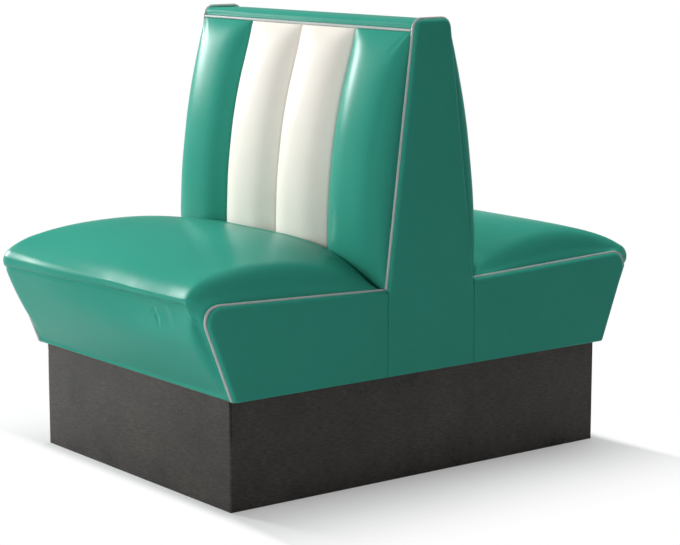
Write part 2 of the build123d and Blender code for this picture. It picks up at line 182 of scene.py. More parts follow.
def piping_vinyl(name, colour):
    """Soft PVC welting, extruded and glossy: pale grey with small bright lines along its round."""
    return patterned(name, colour, {"Scale": 60.0, "Detail": 2.0}, (0.9, 1.05),
                     (0.18, 0.30), {"IOR": 1.53, "Coat Weight": 0.3, "Coat Roughness": 0.1})


def pressed_laminate(name, colour):
    """Black melamine laminate, pressed with a fine pebble: nearly black, with a soft sheen where it
    faces the light, and mottled streaks of brownish grey in its colour that are partly dust and partly a
    painted sheen.
    Real pebbles are about 1 mm; they are drawn 3 mm wide, the finest that the render shows."""
    material, tree, place = new_material(name)
    cloud = add(tree, "TexNoise", {"Vector": place, "Scale": 6.0, "Detail": 6.0, "Roughness": 0.7})
    streaks = add(tree, "VectorMath", {0: place, 1: (60, 60, 420)}, operation="MULTIPLY")
    streaks = add(tree, "TexNoise", {"Vector": streaks, "Scale": 1.0, "Detail": 3.0})
    # Dust and painted sheen: where this mask is high, the colour goes towards a brownish grey that is partly
    # dust and partly a painted sheen.
    dust_and_sheen = add(tree, "Math", {0: cloud, 1: streaks}, operation="MULTIPLY")
    dust_and_sheen = add(tree, "MapRange", {"Value": dust_and_sheen, "From Min": 0.10, "From Max": 0.46})
    tone = add(tree, "Mix", {
        "Factor": dust_and_sheen, 6: shade(colour, 0.8), 7: shade(linear("#4f4942"), 1.0)}, output=2, data_type="RGBA")
    gloss = add(tree, "MapRange", {
        "Value": cloud, "From Min": 0.3, "From Max": 0.7, "To Min": 0.24, "To Max": 0.42})
    pebble = add(tree, "TexVoronoi", {"Vector": place, "Scale": 1 / 0.003}, feature="SMOOTH_F1")
    bump = add(tree, "Bump", {"Height": pebble, "Strength": 0.12, "Distance": 0.0004})
    shader = add(tree, "BsdfPrincipled", {
        "Base Color": tone, "Roughness": gloss, "Normal": bump, "IOR": 1.5,
        "Specular IOR Level": 0.35})
    return finish_material(material, tree, shader, colour)


def sawn_wood(name, colour, grain_width, stretch):
    """Sawn or peeled wood: pale, matt, with darker grain lines that run along the board."""
    noise = {"Scale": 1 / grain_width, "Detail": 6.0, "Distortion": 0.4}
    return patterned(name, colour, noise, (0.72, 1.15), 0.62, {"IOR": 1.5}, (0.2, 0.0006), stretch=stretch)


def plated_steel(name, colour):
    """Zinc-plated steel, pressed and tumbled: a bright grey metal with a faintly cloudy gloss."""
    return patterned(name, colour, {"Scale": 180.0, "Detail": 3.0}, (0.85, 1.1),
                     (0.25, 0.42), {"Metallic": 1.0})


def moulded_plastic(name, colour):
    """Polypropylene, injection moulded: dark grey with a soft sheen and pits of 1 mm."""
    return patterned(name, colour, {"Scale": 1 / 0.001, "Detail": 2.0}, (0.85, 1.15),
                     0.45, {"IOR": 1.49}, (0.2, 0.0003))


# For each slot that a piece or a board shows: the maker of its material, the material's name,
# and its colour as one of the panel's colours or a hex value
MAKERS = {
    "green_vinyl": (upholstery_vinyl, "Green upholstery vinyl, embossed", "green"),
    "white_vinyl": (upholstery_vinyl, "White upholstery vinyl, embossed", "white"),
    "piping": (piping_vinyl, "PVC piping, extruded", "piping"),
    "black_laminate": (pressed_laminate, "Black melamine laminate, pressed", "laminate"),
    "plywood": (sawn_wood, "Birch plywood, peeled", "#c8a878", 0.004, (1.0, 0.12, 1.0)),
    "softwood": (sawn_wood, "Spruce, planed", "#d3b078", 0.005, (0.1, 1.0, 1.0)),
    "steel": (plated_steel, "Zinc-plated steel, pressed", "#b9bcbd"),
    "foot_plastic": (moulded_plastic, "Polypropylene, moulded", "#2a2b2c"),
}
MATERIALS = {}


def material_for(slot):
    """The material of one of the record's slots, made the first time that a piece asks for it."""
    if slot not in MATERIALS:
        maker, name, colour, *sizes = MAKERS[slot]
        chosen = linear(colour) if colour[0] == "#" else getattr(bpy.context.scene.booth_colours, colour)
        MATERIALS[slot] = maker(name, chosen, *sizes)
    return MATERIALS[slot]


# Mesh helpers


def make_piece(name, points, faces, slot, nodes=(), smooth=True):
    """Makes a mesh object from its points and faces, gives it the slot's material and hangs it on
    the booth's body, in place of the CAD nodes it stands for."""
    mesh = bpy.data.meshes.new(name)
    mesh.from_pydata([tuple(map(float, p)) for p in points], [], [tuple(map(int, f)) for f in faces])
    mesh.validate()
    mesh.polygons.foreach_set("use_smooth", [smooth] * len(mesh.polygons))
    mesh.materials.append(material_for(slot))
    piece = bpy.data.objects.new(name, mesh)
    bpy.context.scene.collection.objects.link(piece)
    bpy.context.view_layer.objects.active = piece
    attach(piece, "booth")
    if nodes:
        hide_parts(*nodes)
    return piece


def shell_faces(columns, rows):
    """Faces of a closed pad: an outer and an inner grid of the same size, joined along their rims."""
    def outer(i, j):
        return i * rows + j

    def inner(i, j):
        return columns * rows + outer(i, j)

    faces = []
    for i in range(columns - 1):
        for j in range(rows - 1):
            faces.append((outer(i, j), outer(i + 1, j), outer(i + 1, j + 1), outer(i, j + 1)))
            faces.append((inner(i, j), inner(i, j + 1), inner(i + 1, j + 1), inner(i + 1, j)))
    edges = [((i, j), (i + 1, j), j > 0) for i in range(columns - 1) for j in (0, rows - 1)]
    edges += [((i, j), (i, j + 1), i == 0) for j in range(rows - 1) for i in (0, columns - 1)]
    for a, b, turn in edges:
        rim = (outer(*a), inner(*a), inner(*b), outer(*b))
        faces.append(rim[::-1] if turn else rim)
    return faces


def tube_faces(rings, sides):
    """Faces between rings of points that follow each other, each with the same number of sides."""
    faces = []
    for ring in range(rings - 1):
        for k in range(sides):
            a, b = ring * sides + k, ring * sides + (k + 1) % sides
            faces.append((a, b, b + sides, a + sides))
    return faces


def flip(faces):
    return [tuple(reversed(f)) for f in faces]


def pad(name, outer, inner, slot, nodes, mirrored, pressure, cap, after=None):
    """A stuffed piece from its outer and inner grids of points (column, row, xyz).
    The outer side is blown up as cloth, with its rim and its inner side held, and no point moves
    further than the cap. Then after() moves the points of its outer side for seams and folds."""
    columns, rows = outer.shape[:2]
    points = np.concatenate([outer.reshape(-1, 3), inner.reshape(-1, 3)])
    faces = shell_faces(columns, rows)
    piece = make_piece(name, points, flip(faces) if mirrored else faces, slot, nodes)
    rim = np.zeros((columns, rows), bool)
    rim[:2] = rim[-2:] = True
    rim[:, :2] = rim[:, -2:] = True
    held = np.concatenate([rim.ravel(), np.ones(columns * rows, bool)])
    settled = inflate(piece, held, pressure, cap)
    if after is not None:
        top = settled[:columns * rows].reshape(columns, rows, 3)
        settled[:columns * rows] = after(top).reshape(-1, 3)
    piece.data.vertices.foreach_set("co", settled.astype(np.float32).ravel())
    piece.data.update()
    smoothing = piece.modifiers.new("Rounding", "SUBSURF")
    smoothing.levels = smoothing.render_levels = 1
    return piece


# The covers are blown up as a light, fairly stiff cloth without weight.
CLOTH = {"quality": 5, "mass": 0.3, "tension_stiffness": 20, "compression_stiffness": 15,
         "shear_stiffness": 8, "bending_stiffness": 1.5, "use_pressure": True}
CLOTH_FRAMES = 20


def inflate(piece, held, pressure, cap):
    """Blows the piece up with cloth pressure and gives back its points, each of them at most the
    cap away from where it began."""
    start = np.empty(len(piece.data.vertices) * 3, np.float32)
    piece.data.vertices.foreach_get("co", start)
    start = start.reshape(-1, 3).astype(float)
    group = piece.vertex_groups.new(name="Held")
    group.add([int(i) for i in np.flatnonzero(held)], 1.0, "REPLACE")
    cloth = piece.modifiers.new("Cloth", "CLOTH")
    cloth.point_cache.frame_start = 1
    cloth.point_cache.frame_end = CLOTH_FRAMES
    for name, value in CLOTH.items():
        setattr(cloth.settings, name, value)
    cloth.settings.uniform_pressure_force = pressure
    cloth.settings.vertex_group_mass = group.name
    cloth.settings.effector_weights.gravity = 0
    for number in range(1, CLOTH_FRAMES + 1):
        bpy.context.scene.frame_set(number)
    settled = piece.evaluated_get(bpy.context.evaluated_depsgraph_get()).data
    end = np.empty(len(start) * 3, np.float32)
    settled.vertices.foreach_get("co", end)
    piece.modifiers.remove(cloth)
    piece.vertex_groups.remove(group)
    bpy.context.scene.frame_set(1)
    move = end.reshape(-1, 3) - start
    length = np.maximum(np.linalg.norm(move, axis=1, keepdims=True), 1e-9)
    return start + move / length * cap * np.tanh(length / cap)


def piping_tube(name, path, slot, nodes, radius=0.0036, stitch=0.007):
    """A piping cord along a path of points, with rounded ends and the slight waist that each
    stitch of its seam pulls in."""
    path = np.asarray(path, float)
    steps = np.r_[0, np.cumsum(np.linalg.norm(np.diff(path, axis=0), axis=1))]
    count = max(int(steps[-1] / (stitch / 4)), 12)
    along = np.linspace(0, steps[-1], count)
    line = np.stack([np.interp(along, steps, path[:, k]) for k in range(3)], 1)
    heading = np.gradient(line, axis=0)
    heading /= np.linalg.norm(heading, axis=1, keepdims=True)
    side = np.array([1.0, 0.0, 0.0]) if abs(heading[0, 0]) < 0.9 else np.array([0.0, 0.0, 1.0])
    sides = 16
    points = []
    for i in range(count):
        side = side - heading[i] * np.dot(side, heading[i])
        side /= np.linalg.norm(side)
        third = np.cross(heading[i], side)
        end = min(along[i], steps[-1] - along[i])
        round_off = math.sqrt(max(1 - (1 - min(end / radius, 1)) ** 2, 0.02))
        size = radius * round_off * (1 - 0.035 * math.cos(2 * math.pi * along[i] / stitch) ** 8)
        for k in range(sides):
            turn = 2 * math.pi * k / sides
            points.append(line[i] + size * (math.cos(turn) * side + math.sin(turn) * third))
    faces = tube_faces(count, sides)
    faces.append(tuple(reversed(range(sides))))
    faces.append(tuple(range((count - 1) * sides, count * sides)))
    return make_piece(name, points, faces, slot, nodes)


# Seat cushions


def turned(vector, angle):
    cosine, sine = np.cos(angle), np.sin(angle)
    return np.stack([vector[..., 0] * cosine - vector[..., 1] * sine,
                     vector[..., 0] * sine + vector[..., 1] * cosine], -1)


def unit(vector):
    return vector / np.linalg.norm(vector, axis=-1, keepdims=True)


def arc(start, end, heading, shares):
    """Points on the arcs that leave each start along its heading and come to its end."""
    chord = end - start
    length = np.linalg.norm(chord, axis=-1, keepdims=True)
    way = chord / length
    angle = np.arctan2(heading[..., 0] * way[..., 1] - heading[..., 1] * way[..., 0],
                       (heading * way).sum(-1))
    straight = np.abs(angle) < 1e-6
    points = []
    for share in shares:
        reach = np.where(straight, share, np.sin(share * angle) / np.where(straight, 1, np.sin(angle)))
        points.append(start + length * reach[..., None] * turned(heading, share * angle))
    return np.stack(points, -2)


def along(points, places):
    """Points at fractional places on each curve of a grid of points."""
    low = np.clip(places.astype(int), 0, points.shape[1] - 2)
    rest = (places - low)[..., None]
    curve = np.arange(len(points))[:, None]
    return points[curve, low] * (1 - rest) + points[curve, low + 1] * rest


# Steps along a seat's section, the row at which the seam runs under the nose, and the share of
# the nose's length over which its ends hold their direction
SEAM_ROW = 40
NOSE_STEPS = 22
SLOPE_STEPS = 32
BROW_STEPS = 14
TOP_STEPS = 28
NOSE_HOLD = 0.56
FLAT_CROWN = {"bulge": 0.0, "rise": 0.0, "crease": 0.0, "nose": NOSE_LENGTH, "bow": 0.0, "lift": 0.0,
              "brow_reach": 0.0, "brow_rise": 0.0, "front_power": 2.0, "crease_power": (2.0, 2.0)}


def seat_sections(widths, crown, inset=0.0):
    """Section curves of a seat at shares of its half width, as (-reach, height) points from the
    base up the front, round the nose, over the brow and back to the crease. The crown gives how
    far the middle of the cushion stands proud of its flat side outline."""
    left, right = crown["crease_power"]
    rise = 1 - np.abs(widths) ** np.where(widths < 0, left, right)
    widths = np.abs(widths)
    full = 1 - widths ** crown["front_power"]
    one = np.ones_like(widths)
    base = np.stack([-(BASE_REACH - inset) * one, BASE_HEIGHT * one], -1)
    apex = np.stack([-(NOSE_REACH + crown["bulge"] * full - inset),
                     NOSE_HEIGHT + crown["rise"] * full - inset], -1)
    joint = np.stack([-(JOINT_REACH + CREASE_LEAN * full), JOINT_HEIGHT + crown["crease"] * rise - inset], -1)
    flat = unit(joint - apex) * BROW_LENGTH
    crowned = np.array([crown["brow_reach"], crown["brow_rise"]])
    brow = apex + flat * (1 - full)[:, None] + full[:, None] * crowned
    length = (NOSE_LENGTH + (crown["nose"] - NOSE_LENGTH) * full)[:, None]
    front = turned(unit(apex - base), -math.radians(crown["bow"]) * full)
    top = turned(unit(joint - brow), math.radians(crown["lift"]) * full)
    # The brow's arc is cut where the nose begins, and the nose is a round turn between its two ends.
    slope = arc(brow, apex, -top, np.linspace(0, 1, SLOPE_STEPS + 1))[:, ::-1]
    start = length / np.linalg.norm(brow - apex, axis=-1, keepdims=True) * SLOPE_STEPS
    low, high = apex - front * length, along(slope, start)[:, 0]
    back = unit(along(slope, start + 0.5)[:, 0] - high)
    t = np.linspace(0, 1, NOSE_STEPS + 1)[None, :, None]
    hold = NOSE_HOLD * length
    nose = ((1 - t) ** 3 * low[:, None] + 3 * (1 - t) ** 2 * t * (low + front * hold)[:, None]
            + 3 * (1 - t) * t ** 2 * (high - back * hold)[:, None] + t ** 3 * high[:, None])
    over = along(slope, start + (SLOPE_STEPS - start) * np.linspace(0, 1, BROW_STEPS + 1)[None, :])
    # The face's points stand closer at its ends.
    eased = 0.5 - 0.5 * np.cos(np.linspace(0, math.pi, SEAM_ROW + 1))
    face = arc(low, base, -front, (0.35 * np.linspace(0, 1, SEAM_ROW + 1) + 0.65 * eased))[:, ::-1]
    upper = arc(brow, joint, top, np.linspace(0, 1, TOP_STEPS + 1))
    return np.concatenate([face, nose[:, 1:], over[:, 1:], upper[:, 1:]], 1)


def seat_core(sections, widths):
    """Inner points of a cushion, one for each outer one: over the side boards it follows the
    outline, and between them it lies on the deck and the front board."""
    rows = sections.shape[1]
    slope = (NOSE_REACH - BASE_REACH) / (NOSE_HEIGHT - BASE_HEIGHT)
    board = BASE_REACH - BOARD_AND_LINING
    turn = SEAM_ROW + 1
    core = np.empty_like(sections)
    heights = np.linspace(FLOOR_TOP + BOARD_GAP, DECK_HEIGHT + BOARD_GAP, turn)
    core[:, :turn, 0] = -(board + slope * (heights - BASE_HEIGHT))
    core[:, :turn, 1] = heights
    core[:, turn:, 0] = np.linspace(core[0, turn - 1, 0], -JOINT_REACH, rows - turn + 1)[1:]
    core[:, turn:, 1] = DECK_HEIGHT + BOARD_GAP
    core[np.abs(widths) * HALF_COVER > HALF_BOARD - BOARD_GAP] = seat_sections(
        np.ones(1), FLAT_CROWN, COVER_AND_LINING)[0]
    core[:, :, 1] = np.maximum(core[:, :, 1], FLOOR_TOP + BOARD_GAP)
    return core


def bell(distance, width):
    return np.exp(-(distance / width) ** 2)


def drawn_in(points, side, puckers):
    """Draws the cover in along the seam under the nose, which leaves the nose as a roll over it,
    and adds small puckers: (place across, distance below the seam, length, slant, depth, width)."""
    across = np.gradient(points, axis=0)
    upward = np.gradient(points, axis=1)
    outward = unit(np.cross(across, upward)) * -side
    above = np.concatenate([np.zeros((len(points), 1)),
                            np.cumsum(np.linalg.norm(np.diff(points, axis=1), axis=2), axis=1)], 1)
    above -= above[:, SEAM_ROW:SEAM_ROW + 1]
    place = points[..., 0]
    share = place / HALF_COVER
    held = 1 - np.abs(share) ** 30
    # Towards the right the front seat's seam hangs lower and is drawn in deep under the nose.
    droop = np.clip(share + 0.6, 0, 1)
    droop = droop * droop * (3 - 2 * droop) * (side < 0)
    below = above + 0.012 * bell(place - 0.16, 0.13) * (side < 0)
    roll, groove = 0.0024 * bell(above - 0.019, 0.013), 0.0036 * bell(below, 0.0042)
    fold = 0.029 * bell(below, np.where(below > 0, 0.056, 0.045))
    move = held * (roll - groove - droop * fold)
    for across_at, down, length, slant, depth, width in puckers:
        x, y = place - across_at, above + down
        lengthwise = x * math.sin(slant) - y * math.cos(slant)
        sideways = x * math.cos(slant) + y * math.sin(slant)
        # Each pucker is a crease with a lower ridge beside it.
        crease = bell(sideways, width) - 0.6 * bell(sideways - 1.6 * width, width)
        move -= depth * bell(lengthwise, length) * crease
    return points + outward * move[..., None]


def seat_cushion(name, side, crown, nodes, middle, puckers):
    """One crowned seat cushion in a single vinyl cover, from the base of the front to the crease."""
    edge = 1 - np.array([0, 0.004, 0.011, 0.021, 0.034, 0.05, 0.07, 0.095, 0.125, 0.16])
    widths = np.concatenate([-edge, middle, edge[::-1]])
    sections = seat_sections(widths, crown)
    core = seat_core(sections, widths)
    rows = sections.shape[1]
    across = np.repeat((widths * (HALF_COVER - CLEARANCE))[:, None], rows, 1)
    # The cloth begins up to 6 mm inside its final place and swells out to it.
    share = np.linspace(0, 1, rows)[None, :]
    inside = 0.0056 * (1 - np.abs(widths[:, None]) ** 8) * np.sin(math.pi * share) ** 0.5
    slope = np.gradient(sections, axis=1)
    normal = unit(np.stack([-slope[..., 1], slope[..., 0]], -1))
    start = sections - normal * inside[..., None]
    outer = np.stack([across, -side * start[..., 0], start[..., 1]], -1)
    inner = np.stack([across, -side * core[..., 0], core[..., 1]], -1)
    return pad(name, outer, inner, "green_vinyl", nodes, side < 0, pressure=4, cap=0.006,
               after=lambda points: drawn_in(points, side, puckers))


def length(name, description, default, high, low=0):
    return FloatProperty(name=name, description=description, default=default, min=low, max=high,
                         unit="LENGTH")


def tint(name, description, code):
    return FloatVectorProperty(name=name, description=description, default=linear(code), min=0, max=1,
                               subtype="COLOR")


class BoothSizes(bpy.types.PropertyGroup):
    """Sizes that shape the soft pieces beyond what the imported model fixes."""

    front_bulge: length("Front seat bulge", "How far the front seat's nose stands out at its middle",
                        0.0449, 0.08)
    front_rise: length("Front seat rise", "How far the front seat's nose rises at its middle", 0.0139, 0.08)
    front_crease: length("Front crease rise", "How far the front seat rises where it meets the back",
                         0.087, 0.12)
    rear_bulge: length("Rear seat bulge", "How far the rear seat's nose stands out at its middle",
                       0.0451, 0.08)
    rear_rise: length("Rear seat rise", "How far the rear seat's nose rises at its middle",
                      -0.0072, 0.08, -0.02)
    rear_crease: length("Rear crease rise", "How far the rear seat rises where it meets the back",
                        0.0525, 0.12)
    valley: length("Channel valley", "Depth of the padding along the seams between channels", 0.031, 0.06)
    crest: length("Channel crest", "How far the middle of a channel stands proud of its seams", 0.025, 0.04)


class BoothColours(bpy.types.PropertyGroup):
    """Colours of the booth's covers, trim and plinth, and of the floor."""

    green: tint("Green vinyl", "Colour of the seats, the sides and the outer channels", "#389c88")
    white: tint("White vinyl", "Colour of the two middle channels of each back", "#f8f2e8")
    piping: tint("Piping", "Colour of the piping cords", "#b7c1be")
    laminate: tint("Plinth laminate", "Colour of the plinth", "#1b1b1a")
    floor: tint("Floor", "Colour of the studio floor", "#dcdcde")


class BOOTH_OT_seat_cushions(bpy.types.Operator):
    """Builds the crowned cushions of the front and the rear seat"""

    bl_idname = "booth.seat_cushions"
    bl_label = "Seat cushions"

    def execute(self, context):
        sizes = context.scene.booth_sizes
        front = {"bulge": sizes.front_bulge, "rise": sizes.front_rise, "crease": sizes.front_crease,
                 "nose": 0.030, "bow": 9.2, "lift": 19.2, "brow_reach": 0.0924, "brow_rise": 0.0487,
                 "front_power": 44, "crease_power": (6.1, 3.2)}
        rear = {"bulge": sizes.rear_bulge, "rise": sizes.rear_rise, "crease": sizes.rear_crease,
                "nose": 0.030, "bow": 9.2, "lift": 24.9, "brow_reach": 0.0906, "brow_rise": 0.0510,
                "front_power": 36, "crease_power": (6.9, 6.9)}
        # The columns stand closer where the front cushion's puckers are.
        close = np.concatenate([np.linspace(-0.80, 0.36, 31), np.linspace(0.36, 0.76, 37)[1:], [0.80]])
        seat_cushion("front_seat_cushion", -1, front, ("front_seat_top_cover", "front_seat_foam"), close,
                     ((0.214, 0.032, 0.008, -1.1, 0.0038, 0.0048), (0.226, 0.038, 0.008, 0.8, 0.0038, 0.0048),
                      (0.236, 0.048, 0.009, 0.2, 0.0026, 0.0050), (0.270, 0.034, 0.024, 0.9, 0.0018, 0.0110)))
        seat_cushion("rear_seat_cushion", 1, rear, ("rear_seat_top_cover", "rear_seat_foam"),
                     np.linspace(-0.80, 0.80, 47), ())
        return {"FINISHED"}


# Channels of the back


def edge_reach(height):
    share = (height - JOINT_HEIGHT) / (SHOULDER_HEIGHT - JOINT_HEIGHT)
    return SEAM_REACH + (SHOULDER_REACH - SEAM_REACH) * share


# Share of the height, and the share of its full depth that a valley or a crest has there
VALLEY_SHARES = ((0, 0.1), (0.06, 0.36), (0.13, 0.58), (0.24, 0.8), (0.37, 0.97), (0.5, 1.0), (0.6, 0.95),
                 (0.68, 0.83), (0.76, 0.65), (0.83, 0.43), (0.89, 0.25), (0.95, 0.1), (1, 0))
CREST_SHARES = ((0, 0.15), (0.04, 0.5), (0.12, 0.82), (0.25, 0.97), (0.5, 1.0), (0.75, 1.0), (0.87, 0.93),
                (0.93, 0.76), (0.97, 0.5), (0.99, 0.24), (1, 0))


def smooth_share(share, table):
    """Reads a table of shares with soft turns at its points."""
    at, value = (np.array(column, float) for column in zip(*table))
    slope = np.gradient(value, at)
    i = np.clip(np.searchsorted(at, share) - 1, 0, len(at) - 2)
    gap = at[i + 1] - at[i]
    t = np.clip((share - at[i]) / gap, 0, 1)
    return ((2 * t ** 3 - 3 * t ** 2 + 1) * value[i] + (t ** 3 - 2 * t ** 2 + t) * gap * slope[i]
            + (3 * t ** 2 - 2 * t ** 3) * value[i + 1] + (t ** 3 - t ** 2) * gap * slope[i + 1])


def channel_reach(across, height, sizes, outermost):
    """How far the front of a channel stands from the middle of the booth."""
    share = (height - JOINT_HEIGHT) / (SHOULDER_HEIGHT - JOINT_HEIGHT)
    edge = edge_reach(height)
    valley = sizes.valley * smooth_share(share, VALLEY_SHARES)
    crest = sizes.crest * smooth_share(share, CREST_SHARES)
    middle = CHANNEL_WIDTH * (1.46 if outermost else 0.5)
    start = CHANNEL_WIDTH if outermost else 0
    s = np.clip(np.abs(across - middle) / (middle - start), 0, 1)
    front = valley + crest * (1 - s ** 3)
    if not outermost:
        return edge + front
    # The outer half rolls round to the piping.
    s = np.clip((across - middle) / (HALF_COVER - middle), 0, 1)
    roll = 0.0005 + (valley + crest - 0.0005) * (1 - s ** 3.1) ** (1 / 3.1)
    return edge + np.where(across <= middle, front, roll)


def channel_pad(name, side, hand, outermost, sizes, slot, nodes):
    """One upright channel of a back, sewn down along its sides and tucked in at its ends."""
    if outermost:
        turn = HALF_COVER - 0.075
        across = np.concatenate([
            np.linspace(CHANNEL_WIDTH + SEAM_GAP, turn, 15)[:-1],
            turn + 0.075 * np.sin(np.linspace(0, math.pi / 2, 17))])
        across[-1] = HALF_COVER - CLEARANCE
    else:
        across = np.linspace(SEAM_GAP / 2, CHANNEL_WIDTH - SEAM_GAP, 25)
    # A narrow step beside each seam keeps its edge crisp.
    across = np.concatenate([[across[0], across[0] + SEAM_STEP], across[1:]])
    if not outermost:
        across = np.concatenate([across[:-1], [across[-1] - SEAM_STEP, across[-1]]])
    ends = 0.5 - 0.5 * np.cos(np.linspace(0, math.pi, 61))
    x, z = np.meshgrid(across, CHANNEL_LOW + (CHANNEL_HIGH - CHANNEL_LOW) * ends, indexing="ij")
    reach = channel_reach(x, z, sizes, outermost)
    back = edge_reach(z) - CHANNEL_BASE + CLEARANCE
    reach[0] -= SEAM_DEPTH
    if not outermost:
        reach[-1] -= SEAM_DEPTH
    # The cloth begins a little inside its final place.
    share = np.linspace(0, 1, len(across))[:, None]
    inside = 0.0006 * np.sin(math.pi * share) ** 0.5 * np.sin(math.pi * ends[None, :]) ** 0.5
    reach = np.maximum(reach - inside, back + 0.001)
    outer = np.stack([hand * x, side * reach, z], -1)
    inner = np.stack([hand * x, side * back, z], -1)
    return pad(name, outer, inner, slot, nodes, side * hand > 0, pressure=12, cap=0.005)


class BOOTH_OT_channels(bpy.types.Operator):
    """Builds the eight upright padded channels of the two backs"""

    bl_idname = "booth.channels"
    bl_label = "Back channels"

    def execute(self, context):
        sizes = context.scene.booth_sizes
        for seat, side in SEATS:
            for hand_name, hand in HANDS:
                for place, slot in (("inner", "white_vinyl"), ("outer", "green_vinyl")):
                    node = f"{seat}_channel_{place}_{hand_name}"
                    channel_pad(node + "_pad", side, hand, place == "outer", sizes, slot, (node,))
        return {"FINISHED"}


# Flat side panels


def rounded(corners, radii, steps=8):
    """A closed convex outline from its corners, with each corner rounded by its radius."""
    outline = []
    count = len(corners)
    for i in range(count):
        here = np.array(corners[i], float)
        before = unit(np.array(corners[i - 1], float) - here)
        after = unit(np.array(corners[(i + 1) % count], float) - here)
        if not radii[i]:
            outline.append(here)
            continue
        half = math.acos(float(np.clip(np.dot(before, after), -1, 1))) / 2
        centre = here + unit(before + after) * radii[i] / math.sin(half)
        first = here + before * radii[i] / math.tan(half) - centre
        last = here + after * radii[i] / math.tan(half) - centre
        sweep = math.acos(float(np.clip(np.dot(first, last) / radii[i] ** 2, -1, 1)))
        for k in range(steps + 1):
            t = k / steps
            outline.append(centre + (math.sin((1 - t) * sweep) * first + math.sin(t * sweep) * last)
                           / math.sin(sweep))
    return np.array(outline)


def divided(outline, step=0.008):
    """The outline with its long edges cut into short ones."""
    points = []
    for a, b in zip(outline, np.roll(outline, -1, axis=0)):
        count = max(int(math.ceil(np.linalg.norm(b - a) / step)), 1)
        points += [a + (b - a) * k / count for k in range(count)]
    return np.array(points)


def edge_distances(points, outline):
    """Distance of each point from the line of each edge of a convex outline, inwards."""
    ahead = np.roll(outline, -1, axis=0) - outline
    normal = unit(np.stack([-ahead[:, 1], ahead[:, 0]], -1))
    return ((points[:, None] - outline[None]) * normal[None]).sum(-1)


def edge_drop(distances, radius, depth):
    """How far some edges pull a panel's face in, in a round of the radius."""
    near = np.clip(distances.min(1) / radius, 0, 1)
    return depth * (1 - np.sqrt(1 - (1 - near) ** 2))


def mitres(outline):
    """The ways in from the points of a closed outline, as long as they keep its edges parallel."""
    ahead = unit(np.roll(outline, -1, axis=0) - outline)
    both = ahead + np.roll(ahead, 1, axis=0)
    inwards = np.stack([-both[:, 1], both[:, 0]], -1)
    return inwards / (1 + (ahead * np.roll(ahead, 1, axis=0)).sum(-1))[:, None]


def panel(name, corners, radii, side, hand, slot, nodes, puff=0.0015):
    """A flat padded panel on a side of the booth, from its outline of (reach, height). It stands
    proud of the piping with a soft roll, its upright seams are shallow grooves, and its face has
    a very slight swell."""
    outline = rounded(corners, radii)
    (x, y), (x_next, y_next) = outline.T, np.roll(outline, -1, axis=0).T
    if np.sum(x * y_next - x_next * y) < 0:
        outline = outline[::-1]
    fine = divided(outline)
    inwards = mitres(fine)
    points = [fine]
    for inset in (0.0003, 0.0009, 0.0018, 0.0030, 0.0045, 0.0062, 0.0082, 0.0105):
        ring = fine + inwards * inset
        points.append(ring[edge_distances(ring, fine).min(1) > inset - 1e-5])
    low, high = fine.min(0), fine.max(0)
    rows, columns = np.meshgrid(np.arange(low[0], high[0], 0.012), np.arange(low[1], high[1], 0.012))
    inside = np.stack([rows.ravel(), columns.ravel()], -1)
    points.append(inside[edge_distances(inside, fine).min(1) > 0.015])
    rim = len(fine)
    loop = [(i, (i + 1) % rim) for i in range(rim)]
    made = delaunay_2d_cdt([Vector(p) for p in np.concatenate(points)], loop, [], 1, 1e-7)
    flat = np.array([tuple(p) for p in made[0]])
    distances = edge_distances(flat, fine)
    distance = np.maximum(distances.min(1), 0)
    following = np.roll(fine, -1, axis=0)
    seam = (np.abs(np.abs(fine[:, 0]) - SEAM_REACH) < 1e-6) & (np.abs(following[:, 0] - fine[:, 0]) < 1e-6)
    hem = (fine[:, 1] < BASE_HEIGHT + 1e-6) & (following[:, 1] < BASE_HEIGHT + 1e-6)
    drop = np.maximum.reduce([
        edge_drop(distances[:, seam], 0.0045, 0.0030),
        edge_drop(distances[:, hem], 0.0045, 0.0040),
        edge_drop(distances[:, ~(seam | hem)], 0.0100, COVER_FACE - HALF_COVER - 0.001)])
    # The vinyl lies in very faint waves over its padding.
    wave = np.sin(flat[:, 0] * 31 + 1.3) * np.sin(flat[:, 1] * 23 + 0.4)
    wave += 0.5 * np.sin(flat[:, 0] * 57 - flat[:, 1] * 41)
    rise = COVER_FACE - drop + puff * (1 - np.exp(-distance / 0.05))
    rise += 0.0003 * wave * np.clip(distance / 0.03, 0, 1)
    count = len(flat)
    points = [(hand * x, side * reach, height) for x, (reach, height) in zip(rise, flat)]
    points += [(hand * (HALF_COVER + 0.0001), side * reach, height) for reach, height in flat[:rim]]
    faces = [tuple(f) for f in made[2]]
    for i, j in loop:
        faces.append((j, i, count + i, count + j))
    faces.append(tuple(count + i for i in reversed(range(rim))))
    # The faces run counter-clockwise in (reach, height), which looks along +X where side is +1.
    outward = side * hand > 0
    return make_piece(name, points, faces if outward else flip(faces), slot, nodes)


def at_height(line, height):
    (x1, y1), (x2, y2) = line
    return x1 + (x2 - x1) * (height - y1) / (y2 - y1), height


def crossing(first, second):
    (x1, y1), (x2, y2) = first
    (x3, y3), (x4, y4) = second
    turn = (x2 - x1) * (y4 - y3) - (y2 - y1) * (x4 - x3)
    share = ((x3 - x1) * (y4 - y3) - (y3 - y1) * (x4 - x3)) / turn
    return x1 + (x2 - x1) * share, y1 + (y2 - y1) * share


def seat_panel_corners():
    seam = ((SEAM_REACH, BASE_HEIGHT), (SEAM_REACH, JOINT_HEIGHT))
    return [(SEAM_REACH, BASE_HEIGHT), BASE, APEX, crossing((APEX, JOINT), seam)]


def arch_line():
    edge = ((SEAM_REACH, JOINT_HEIGHT), (SHOULDER_REACH, SHOULDER_HEIGHT))
    return at_height(edge, JOINT_HEIGHT - PIPING_HEM), at_height(edge, ARCH_HEIGHT)


def back_panel_corners():
    half = [(SEAM_REACH, BASE_HEIGHT), (SEAM_REACH, JOINT_HEIGHT), arch_line()[1]]
    return half + [(-reach, height) for reach, height in reversed(half)]


